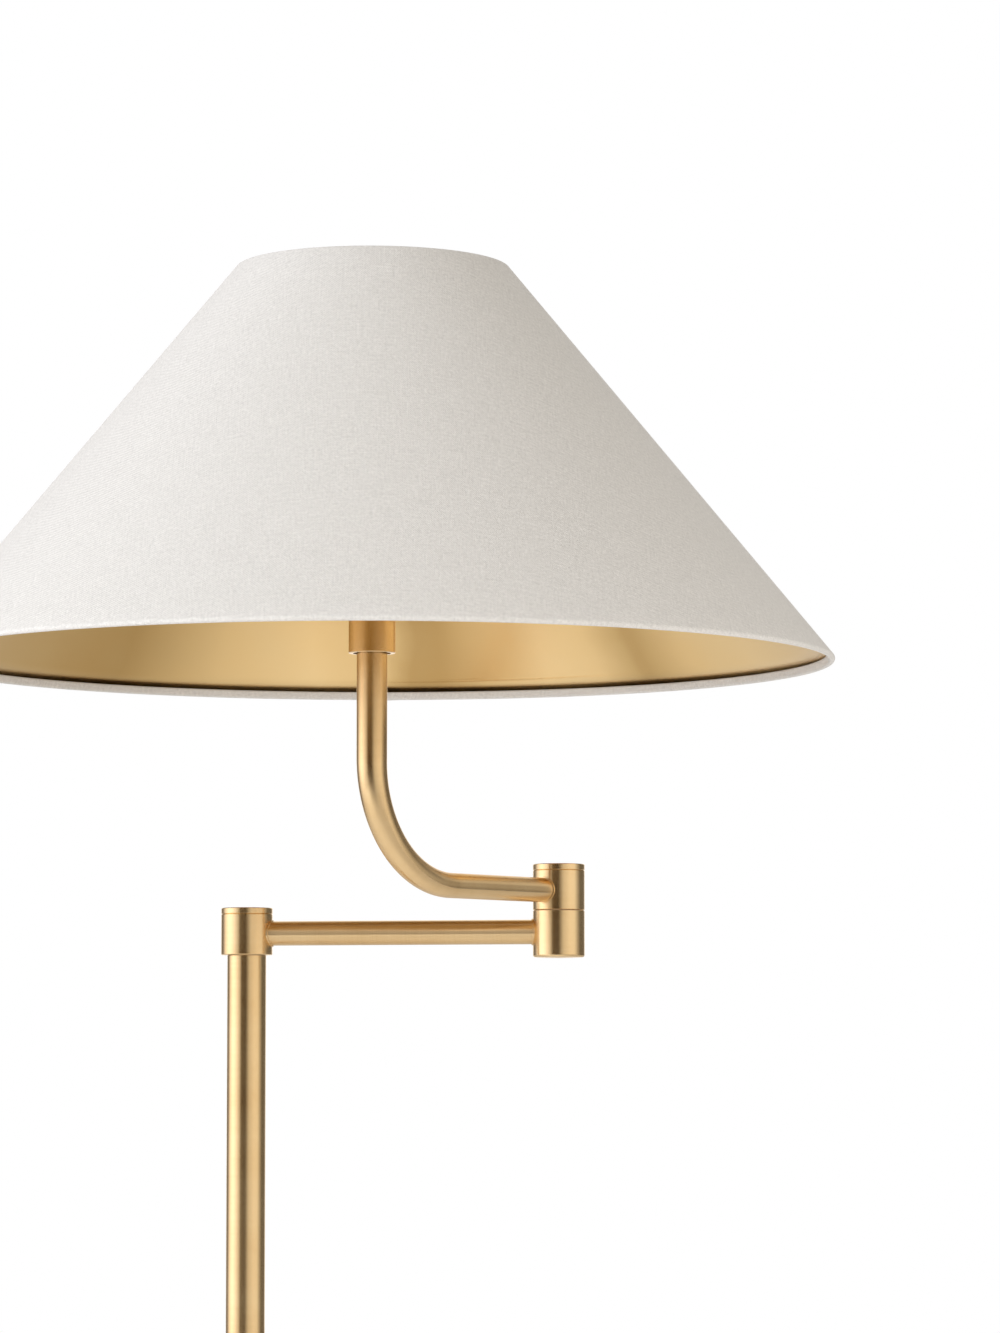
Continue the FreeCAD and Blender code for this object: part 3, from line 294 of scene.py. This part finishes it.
def brass_parts():
    """Every brass node gets the polish of its own axis."""
    lower = (ELBOW - SHOULDER)
    lower.z = 0
    lower.normalize()
    upper = SHADE_AXIS - ELBOW
    upper.z = 0
    upper.normalize()
    post = turned_about(SHOULDER, UP)
    elbow = turned_about(ELBOW, UP)
    socket = turned_about(SHADE_AXIS, UP)
    wall = turned_about(Vector((0, 0, 0)), Vector((0, -1, 0)))
    lower_axis = turned_about(middle("lower_arm_tube"), lower)
    arm_length = (Vector((SHADE_AXIS.x, SHADE_AXIS.y, 0)) - Vector((ELBOW.x, ELBOW.y, 0))).length
    arm_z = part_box("upper_arm_tube")[0].z + ARM_R
    knee = Vector((ELBOW.x, ELBOW.y, arm_z)) + upper * (arm_length - BEND_R) + UP * BEND_R
    paint(brass_shader("brass_post", post, POST_POLISH), "post", "post_hub", "hub_bottom_cap",
          "shoulder_housing", "shoulder_cap", "hub_set_screws")
    paint(brass_shader("brass_elbow", elbow, POST_POLISH), "elbow_lower_housing", "elbow_upper_housing",
          "elbow_cap")
    paint(brass_shader("brass_lower_arm", lower_axis, LOWER_ARM_POLISH), "lower_arm_tube")
    paint(brass_shader("brass_upper_arm", along_bent_arm(knee, BEND_R, upper), POST_POLISH), "upper_arm_tube")
    paint(brass_shader("brass_socket", socket, SOCKET_POLISH), "socket_collar", "lampholder_cap",
          "lampholder_shell", "shade_finial", "harp_saddle")
    paint(brass_shader("brass_canopy", wall, CANOPY_POLISH), "canopy", "bracket_stem", "stem_collar",
          "canopy_cap_nuts")


# ---- Shade pieces ----
LINEN_TINT = (0.785, 0.762, 0.734, 1.0)
LINEN_DARK = 0.66            # the hollows of the weave, as a share of the tint
WARP_PITCH = 0.62 * MM
WEFT_PITCH = 1.12 * WARP_PITCH


def slant_frame():
    """Start, direction and outward normal of the line that joins the centres of the two hems, in (r, z)."""
    foot = Vector((BOTTOM_HEM.ring_r, BOTTOM_HEM.centre.z))
    head = Vector((TOP_HEM.ring_r, TOP_HEM.centre.z))
    run = head - foot
    along = run.normalized()
    return foot, along, Vector((along.y, -along.x)), run.length


def wall_outline(offset, start, end):
    """Straight stretch up the slant at an offset: (place, normal, distance) in (r, z)."""
    foot, along, out, _ = slant_frame()
    outline = []
    for row in range(WALL_ROWS + 1):
        distance = start + (end - start) * row / WALL_ROWS
        outline.append((foot + along * distance + out * offset, out, distance))
    return outline


def curl_outline(ring, side):
    """The linen's outer face round a ring wire, from the wall inwards. side is -1 below, +1 above."""
    _, along, out, slant = slant_frame()
    centre = Vector((ring.ring_r, ring.centre.z))
    edge = slant if side > 0 else 0.0
    outline = []
    for step in range(1, CURL_STEPS + 1):
        turn = math.radians(CURL_DEG) * step / CURL_STEPS
        normal = out * math.cos(turn) + along * side * math.sin(turn)
        outline.append((centre + normal * ring.roll_r, normal, edge + side * ring.roll_r * turn))
    return outline


def return_strip(end):
    """The linen's edge inside the shade, straight on from where the curl ends."""
    place, normal, distance = end
    onward = Vector((normal.y, -normal.x))
    strip = []
    for row in range(1, RETURN_ROWS + 1):
        reach = RETURN_STRIP * row / RETURN_ROWS
        strip.append((place + onward * reach, normal, distance - reach))
    return strip


def cover_outline():
    """Outer face of the linen: edge strip, curl under the bottom wire, wall, curl over the top wire."""
    curl = curl_outline(BOTTOM_HEM, -1)
    below = list(reversed(curl + return_strip(curl[-1])))
    slant = slant_frame()[3]
    return below + wall_outline(BOTTOM_HEM.roll_r, 0.0, slant) + curl_outline(TOP_HEM, 1)


def sector_radius(distance):
    """Radius in the flat pattern of a line round the cone at a distance up the slant."""
    foot, along, _, _ = slant_frame()
    return foot.x / -along.x - distance


def new_object(name, made, body):
    mesh = bpy.data.meshes.new(name)
    made.to_mesh(mesh)
    made.free()
    mesh.polygons.foreach_set("use_smooth", [True] * len(mesh.polygons))
    built = bpy.data.objects.new(name, mesh)
    bpy.context.collection.objects.link(built)
    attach(built, body)
    return built


def lap_lift(turn, lap_turn, lift):
    """The end of the sheet rises on to its start over the last stretch before the lap."""
    ramp = (turn - (FULL_TURN - lap_turn)) / lap_turn
    return lift * min(1.0, max(0.0, ramp))


def seam_columns(lap_turn):
    """Turns of the sheet's columns, with extra ones where the end climbs on to the start."""
    columns = [FULL_TURN * step / TURNS for step in range(TURNS)]
    columns += [FULL_TURN - lap_turn * 0.5, FULL_TURN, FULL_TURN + lap_turn / 2, FULL_TURN + lap_turn]
    return sorted(columns)


def sheet_layer(made, outline, columns, lap_turn, lift, depth, spots):
    """One face of the sheet as columns of vertices. spots keeps the turn and distance of each."""
    seam = math.radians(SEAM_HEADING_DEG)
    layer = []
    for turn in columns:
        raised = lap_lift(turn, lap_turn, lift) - depth
        angle = seam + turn
        column = []
        for place, normal, distance in outline:
            spot = place + normal * raised
            vertex = made.verts.new((SHADE_AXIS.x + spot.x * math.cos(angle),
                                     SHADE_AXIS.y + spot.x * math.sin(angle), spot.y))
            spots[vertex] = (turn, distance)
            column.append(vertex)
        layer.append(column)
    return layer


def lapped_wall(name, outline, thickness, lift):
    """Cone wall from one flat sector whose ends lap at the seam. UVs are the flat pattern in metres."""
    foot, along, _, _ = slant_frame()
    lap_turn = SEAM_LAP / foot.x
    made = bmesh.new()
    flat = made.loops.layers.uv.new("flat")
    columns = seam_columns(lap_turn)
    spots = {}
    outside, inside = [sheet_layer(made, outline, columns, lap_turn, lift, depth, spots)
                       for depth in (0.0, thickness)]
    last = len(columns) - 1
    top = len(outline) - 1

    def face(*corners):
        built = made.faces.new(corners)
        for loop in built.loops:
            turn, distance = spots[loop.vert]
            angle = (turn - math.pi) * -along.x
            radius = sector_radius(distance)
            loop[flat].uv = (radius * math.sin(angle), -radius * math.cos(angle))

    for column in range(last):
        for row in range(top):
            face(outside[column][row], outside[column + 1][row], outside[column + 1][row + 1],
                 outside[column][row + 1])
            face(inside[column][row], inside[column][row + 1], inside[column + 1][row + 1],
                 inside[column + 1][row])
        face(outside[column][0], inside[column][0], inside[column + 1][0], outside[column + 1][0])
        face(outside[column][top], outside[column + 1][top], inside[column + 1][top], inside[column][top])
    for row in range(top):
        face(outside[0][row], outside[0][row + 1], inside[0][row + 1], inside[0][row])
        face(outside[last][row], inside[last][row], inside[last][row + 1], outside[last][row + 1])
    return new_object(name, made, "upper_arm")


def linen_shader(name, tint):
    """Woven linen on the flat pattern: warp and weft threads, slubs, a little fuzz."""
    shader = Shader(name)
    flat = shader.uv("flat")
    split = shader.node("ShaderNodeSeparateXYZ")
    shader.feed(split.inputs[0], flat)
    across, along = split.outputs[0], split.outputs[1]
    drift = shader.noise(flat, 60.0, 3.0, 0.6)
    warp_slubs = shader.noise(shader.stretch(flat, (1500.0, 70.0, 1.0)), 1.0, 3.0, 0.65)
    weft_slubs = shader.noise(shader.stretch(flat, (60.0, 1300.0, 1.0)), 1.0, 3.0, 0.65)
    wobble = shader.math("MULTIPLY", shader.math("SUBTRACT", drift, 0.5), 1.6)
    warp = shader.math("SINE", shader.math("MULTIPLY_ADD", across, math.pi / WARP_PITCH, wobble))
    weft = shader.math("SINE", shader.math("MULTIPLY_ADD", along, math.pi / WEFT_PITCH, wobble))
    weave = shader.math("MULTIPLY", warp, weft)
    slubs = shader.math("ADD", warp_slubs, weft_slubs)
    height = shader.math("MULTIPLY_ADD", weave, 0.35, slubs)
    fuzz = shader.noise(flat, 620.0, 4.0, 0.75)
    threads = shader.math("MULTIPLY_ADD", weave, 0.06, shader.math("MULTIPLY", slubs, 0.3))
    tone = shader.math("MULTIPLY_ADD", fuzz, 0.8, threads)
    dark = tuple(channel * LINEN_DARK for channel in tint[:3]) + (1.0,)
    color = shader.ramp(tone, (0.40, dark), (0.90, tint))
    normal = shader.bump(shader.math("MULTIPLY_ADD", fuzz, 1.6, height), 0.16 * MM, 0.9)
    shader.set(color=color, roughness=shader.span(fuzz, 0.3, 0.7, 0.82, 0.95), normal=normal, sheen=0.25,
               sheen_roughness=0.5, specular=0.2)
    return shader.material


FLAT_HALF = math.pi * -slant_frame()[1].x     # half the angle of the flat pattern

# Painted reflections on the foil: a level round the shade that multiplies its gold in light and dark bands
# fixed to the sheet: (degrees from the seam, level).
PAINTED_FOIL_REFLECTIONS = ((0, 0.8), (9.6, 0.9), (23.6, 0.78), (39, 0.5), (55, 0.62), (90, 0.8), (130, 0.7),
              (165, 0.45), (200, 0.45), (235, 0.6), (265, 0.95), (284, 1.0), (298, 1.0), (310, 0.9),
              (320, 0.58), (328, 0.9), (336, 0.95), (343, 0.82), (351, 0.55), (356, 0.55), (360, 0.8))
PAINTED_REFLECTION_BROWNING = (1.0, 1.2, 1.65)              # power of the level in red, green, blue: the darker painted reflection bands are browner
PAINTED_BAND_RIPPLE = 0.02                            # how far the painted reflection bands waver, as a share of the turn


def foil_shader():
    """Gold foil laminated on card: satin metal, a faint linen emboss, and painted reflection bands that vary
    round it.
    """
    shader = Shader("gold_foil")
    flat = shader.uv("flat")
    emboss = shader.noise(shader.stretch(flat, (900.0, 900.0, 1.0)), 1.0, 3.0, 0.6)
    clouds = shader.noise(flat, 14.0, 4.0, 0.5)
    gold = shader.ramp(clouds, (0.3, (0.98, 0.71, 0.36, 1)), (0.7, (1.0, 0.76, 0.42, 1)))
    split = shader.node("ShaderNodeSeparateXYZ")
    shader.feed(split.inputs[0], flat)
    angle = shader.math("ARCTAN2", split.outputs[0], shader.math("MULTIPLY", split.outputs[1], -1.0))
    turn = shader.span(angle, -FLAT_HALF, FLAT_HALF, -PAINTED_BAND_RIPPLE / 2, 1 - PAINTED_BAND_RIPPLE / 2)
    painted_band_turn = shader.math("MULTIPLY_ADD", clouds, PAINTED_BAND_RIPPLE, turn)
    stops = [(degrees / 360.0, tuple(level ** power for power in PAINTED_REFLECTION_BROWNING) + (1.0,))
             for degrees, level in PAINTED_FOIL_REFLECTIONS]
    # The gold is multiplied by the painted reflection bands.
    color = shader.mix(1.0, gold, shader.ramp(painted_band_turn, *stops), "MULTIPLY")
    normal = shader.bump(emboss, 0.02 * MM, 0.5)
    shader.set(color=color, metallic=1.0, roughness=shader.span(clouds, 0.3, 0.7, 0.16, 0.22), normal=normal)
    return shader.material


def build_shade():
    slant = slant_frame()[3]
    linen_line = cover_outline()
    cover = lapped_wall("shade_cover", linen_line, LINEN_T, LINEN_T)
    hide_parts("shade_fabric", "shade_bottom_hem", "shade_top_hem")
    cover.data.materials.append(linen_shader("linen_cover", LINEN_TINT))
    foil_line = wall_outline(LINING_OFFSET, BOTTOM_HEM.roll_r * LINING_INSET,
                             slant - TOP_HEM.roll_r * LINING_INSET)
    foil = lapped_wall("shade_foil_lining", foil_line, LINING_T, 0.0)
    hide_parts("shade_lining")
    foil.data.materials.append(foil_shader())


# ---- Other finishes ----
def plain_finish(name, light, dark, metallic, roughness, grain, depth):
    """Moulded or plated surface with cloudy tone, a fine grain and its bump."""
    shader = Shader(name)
    place = shader.coords()
    clouds = shader.noise(place, 60.0, 4.0, 0.55)
    fine = shader.noise(place, grain, 3.0, 0.6)
    tone = shader.math("MULTIPLY_ADD", fine, 0.5, shader.math("MULTIPLY", clouds, 0.5))
    color = shader.ramp(tone, (0.3, dark), (0.7, light))
    rough = shader.span(tone, 0.3, 0.7, roughness * 0.85, roughness * 1.2)
    shader.set(color=color, metallic=metallic, roughness=rough, normal=shader.bump(fine, depth, 0.6))
    return shader.material


def glass_shader():
    """Bulb glass with a soft white coating inside."""
    shader = Shader("frosted_bulb")
    place = shader.coords()
    mottle = shader.noise(place, 120.0, 4.0, 0.6)
    color = shader.ramp(mottle, (0.3, (0.86, 0.85, 0.82, 1)), (0.7, (0.93, 0.92, 0.90, 1)))
    shader.set(color=color, roughness=shader.span(mottle, 0.3, 0.7, 0.16, 0.26), ior=1.5, coat=0.6,
               coat_roughness=0.05, normal=shader.bump(mottle, 0.02 * MM, 0.3))
    return shader.material


# Name, light tone, dark tone, metallic, roughness, grain per metre, depth of the grain in millimetres, nodes.
FINISHES = (
    ("plated_steel", (0.62, 0.60, 0.57), (0.48, 0.46, 0.44), 1.0, 0.32, 1800.0, 0.01,
     "wall_crossbar canopy_studs stem_locknut backing_plate shoulder_nut shoulder_stop_washer"
     " shoulder_spring_washer shoulder_pivot shoulder_stop_pin post_top_plug elbow_pivot_plate"
     " elbow_stop_washer elbow_spring_washer elbow_nuts elbow_pivot elbow_stop_pin"
     " socket_nipple shade_spider shade_bottom_ring"),
    ("green_screw_paint", (0.10, 0.30, 0.12), (0.06, 0.20, 0.08), 0.3, 0.4, 1500.0, 0.02, "ground_screw"),
    ("nylon", (0.50, 0.35, 0.19), (0.40, 0.28, 0.15), 0.0, 0.5, 2200.0, 0.01,
     "shoulder_thrust_washer elbow_thrust_washer"),
    ("lead_insulation", (0.60, 0.46, 0.26), (0.46, 0.34, 0.18), 0.0, 0.4, 1500.0, 0.02,
     "post_lead lower_arm_lead upper_arm_lead supply_conductors"),
    ("connector_plastic", (0.70, 0.22, 0.06), (0.55, 0.15, 0.04), 0.0, 0.4, 1500.0, 0.02, "wire_connectors"),
    ("phenolic", (0.035, 0.030, 0.028), (0.018, 0.016, 0.015), 0.0, 0.35, 1600.0, 0.02,
     "lampholder_switch_block switch_knob"),
    ("fibre_liner", (0.36, 0.27, 0.18), (0.26, 0.19, 0.12), 0.0, 0.75, 1200.0, 0.05, "lampholder_liner"),
    ("shell_metal", (0.80, 0.66, 0.40), (0.66, 0.52, 0.30), 1.0, 0.28, 1500.0, 0.01,
     "lampholder_screw_shell lampholder_contact bulb_screw_base harp harp_sleeves"),
)


def other_finishes():
    for name, light, dark, metallic, roughness, grain, depth_mm, nodes in FINISHES:
        finish = plain_finish(name, light + (1,), dark + (1,), metallic, roughness, grain, depth_mm * MM)
        paint(finish, *nodes.split())
    paint(glass_shader(), "bulb_glass")


# ---- Stage ----
TINTS = {"warm": (1.0, 0.975, 0.93), "cool": (1.0, 1.0, 1.07), "brown": (1.0, 0.58, 0.12)}

# The studio by azimuth: degrees from the room, + towards +X; tint; level. FLAGGED is near the horizon.
LEFT = ((-180, "warm", 1.1), (-162, "warm", 0.8), (-150, "warm", 0.12), (-128, "cool", 0.25),
        (-106, "cool", 1.1), (-84, "cool", 1.6), (-66, "cool", 1.35), (-46, "cool", 0.8))
FLAGGED_FRONT = ((-36, "warm", 0.5), (-29, "brown", 0.05), (-2, "brown", 0.03), (10, "warm", 0.35))
FLAGGED_RIGHT = ((20, "warm", 0.66), (50, "warm", 0.9), (74, "warm", 0.86), (92, "warm", 0.4),
                 (108, "warm", 0.13), (148, "warm", 0.15), (162, "warm", 0.8), (180, "warm", 1.1))
CLEAR_FRONT = ((-26, "warm", 0.7), (8, "warm", 0.6))
CLEAR_RIGHT = ((20, "warm", 0.66), (50, "warm", 0.9), (74, "warm", 0.86), (92, "warm", 0.75),
               (112, "warm", 0.62), (135, "warm", 0.25), (150, "warm", 0.25), (162, "warm", 0.8),
               (180, "warm", 1.1))

# The studio by height: 0 straight down to 1 straight up; level.
FLAG_BY_HEIGHT = ((0.18, 0.0), (0.26, 1.0), (0.62, 1.0), (0.72, 0.0))
LIGHT_BY_HEIGHT = ((0.0, 0.7), (0.35, 0.65), (0.5, 0.95), (0.6, 1.0), (0.72, 0.82), (0.86, 0.64),
                   (0.93, 0.56), (1.0, 0.5))
STUDIO_STRENGTH = 1.35


class Studio:
    """The world's node tree: direction in, light out."""

    def __init__(self):
        world = bpy.data.worlds.new("studio")
        bpy.context.scene.world = world
        world.use_nodes = True
        self.tree = world.node_tree
        self.tree.nodes.clear()
        self.output = self.tree.nodes.new("ShaderNodeOutputWorld")
        direction = self.tree.nodes.new("ShaderNodeTexCoord")
        split = self.tree.nodes.new("ShaderNodeSeparateXYZ")
        self.tree.links.new(direction.outputs["Generated"], split.inputs[0])
        self.direction = split.outputs

    def calc(self, operation, first, second):
        made = self.tree.nodes.new("ShaderNodeMath")
        made.operation = operation
        for socket, value in zip(made.inputs, (first, second)):
            if isinstance(value, bpy.types.NodeSocket):
                self.tree.links.new(value, socket)
            else:
                socket.default_value = value
        return made.outputs[0]

    def ramp(self, factor, stops):
        made = self.tree.nodes.new("ShaderNodeValToRGB")
        elements = made.color_ramp.elements
        for _ in range(len(stops) - 2):
            elements.new(0.5)
        for element, (place, color) in zip(elements, stops):
            element.position = place
            element.color = color
        self.tree.links.new(factor, made.inputs[0])
        return made.outputs[0]

    def mix(self, factor, first, second, blend):
        made = self.tree.nodes.new("ShaderNodeMix")
        made.data_type = "RGBA"
        made.blend_type = blend
        if isinstance(factor, bpy.types.NodeSocket):
            self.tree.links.new(factor, made.inputs[0])
        else:
            made.inputs[0].default_value = factor
        self.tree.links.new(first, made.inputs[6])
        self.tree.links.new(second, made.inputs[7])
        return made.outputs[2]

    def background(self, strength):
        made = self.tree.nodes.new("ShaderNodeBackground")
        made.inputs["Strength"].default_value = strength
        return made


def tinted(tint, level):
    return tuple(channel * level for channel in TINTS[tint]) + (1.0,)


def around_stops(*tables):
    """Ramp stops from tables of (degrees, tint, level)."""
    rows = [row for table in tables for row in table]
    return [(degrees / 360.0 + 0.5, tinted(tint, level)) for degrees, tint, level in rows]


def light_studio():
    """A soft studio by direction: tall light panels at both sides, dark in front, white for the camera."""
    studio = Studio()
    x, y, z = studio.direction
    azimuth = studio.calc("ARCTAN2", x, studio.calc("MULTIPLY", y, -1.0))
    turn = studio.calc("ADD", studio.calc("DIVIDE", azimuth, FULL_TURN), 0.5)
    height = studio.calc("ADD", studio.calc("MULTIPLY", z, 0.5), 0.5)
    flagged = studio.ramp(turn, around_stops(LEFT, FLAGGED_FRONT, FLAGGED_RIGHT))
    clear = studio.ramp(turn, around_stops(LEFT, CLEAR_FRONT, CLEAR_RIGHT))
    flag = studio.ramp(height, [(place, (level, level, level, 1.0)) for place, level in FLAG_BY_HEIGHT])
    around = studio.mix(flag, clear, flagged, "MIX")
    falloff = studio.ramp(height, [(place, tinted("warm", level)) for place, level in LIGHT_BY_HEIGHT])
    panels = studio.background(STUDIO_STRENGTH)
    studio.tree.links.new(studio.mix(1.0, around, falloff, "MULTIPLY"), panels.inputs["Color"])
    white = studio.background(1.0)
    white.inputs["Color"].default_value = (1.0, 1.0, 1.0, 1.0)
    seen = studio.tree.nodes.new("ShaderNodeLightPath")
    chosen = studio.tree.nodes.new("ShaderNodeMixShader")
    studio.tree.links.new(seen.outputs["Is Camera Ray"], chosen.inputs[0])
    studio.tree.links.new(panels.outputs[0], chosen.inputs[1])
    studio.tree.links.new(white.outputs[0], chosen.inputs[2])
    studio.tree.links.new(chosen.outputs[0], studio.output.inputs["Surface"])


def floor_shader():
    shader = Shader("pale_floor")
    place = shader.coords()
    clouds = shader.noise(place, 1.6, 4.0, 0.5)
    grain = shader.noise(place, 240.0, 3.0, 0.6)
    tone = shader.math("MULTIPLY_ADD", grain, 0.3, shader.math("MULTIPLY", clouds, 0.7))
    color = shader.ramp(tone, (0.3, (0.84, 0.83, 0.81, 1)), (0.7, (0.90, 0.89, 0.87, 1)))
    shader.set(color=color, roughness=0.7, normal=shader.bump(grain, 0.2 * MM, 0.2))
    return shader.material


FLOOR_HALF = 3.0
FLOOR_BACK = 6.0
FLOOR_Z = -0.62


def build_stage():
    mesh = bpy.data.meshes.new("studio_floor")
    corners = [(-FLOOR_HALF, -FLOOR_HALF, FLOOR_Z), (FLOOR_HALF, -FLOOR_HALF, FLOOR_Z),
               (FLOOR_HALF, FLOOR_BACK, FLOOR_Z), (-FLOOR_HALF, FLOOR_BACK, FLOOR_Z)]
    mesh.from_pydata(corners, [], [(0, 1, 2, 3)])
    floor = bpy.data.objects.new("studio_floor", mesh)
    bpy.context.collection.objects.link(floor)
    floor.data.materials.append(floor_shader())


def area_light(name, place, target, size, power, color):
    data = bpy.data.lights.new(name, "AREA")
    data.shape = "RECTANGLE"
    data.size, data.size_y = size
    data.energy = power
    data.color = color
    light = bpy.data.objects.new(name, data)
    bpy.context.collection.objects.link(light)
    light.location = place
    light.rotation_euler = (Vector(target) - Vector(place)).to_track_quat("-Z", "Y").to_euler()
    return light


# Area lights: name, place from the middle of the shade, size, watts, colour. None shows in the metal.
LIGHTS = (
    ("key", (-2.2, -1.6, 0.3), (1.6, 1.8), 51.0, (0.91, 0.96, 1.0)),
    ("fill", (0.75, -0.75, -0.33), (0.5, 0.5), 3.6, (1.0, 0.98, 0.96)),
    ("floor_glow", (0.0, -0.11, -0.5), (0.9, 0.9), 1.0, (1.0, 0.98, 0.95)),
)
SHADE_MIDDLE_UP = 0.05       # from the rim to the point that the lights turn about


def build_lights():
    """The key and the fill face the shade. The floor glow faces the floor under it."""
    light_studio()
    centre = Vector((SHADE_AXIS.x, SHADE_AXIS.y, SHADE_RIM_Z + SHADE_MIDDLE_UP))
    for name, offset, size, power, color in LIGHTS:
        place = centre + Vector(offset)
        target = place - UP if name == "floor_glow" else centre
        light = area_light(name, place, target, size, power, color)
        light.visible_glossy = False


def build_camera():
    data = bpy.data.cameras.new("camera")
    data.sensor_fit = "VERTICAL"
    data.sensor_height = CAMERA_SENSOR
    data.sensor_width = CAMERA_SENSOR
    data.lens = CAMERA_LENS
    camera = bpy.data.objects.new("camera", data)
    bpy.context.collection.objects.link(camera)
    camera.location = Vector((SHADE_AXIS.x, SHADE_AXIS.y, SHADE_RIM_Z)) + CAMERA_FROM_RIM
    camera.rotation_euler = (math.radians(90.0 + CAMERA_PITCH_DEG), 0.0, 0.0)
    bpy.context.scene.camera = camera


build_shade()
brass_parts()
other_finishes()
build_stage()
build_lights()
build_camera()
bpy.context.scene.view_settings.view_transform = "Standard"
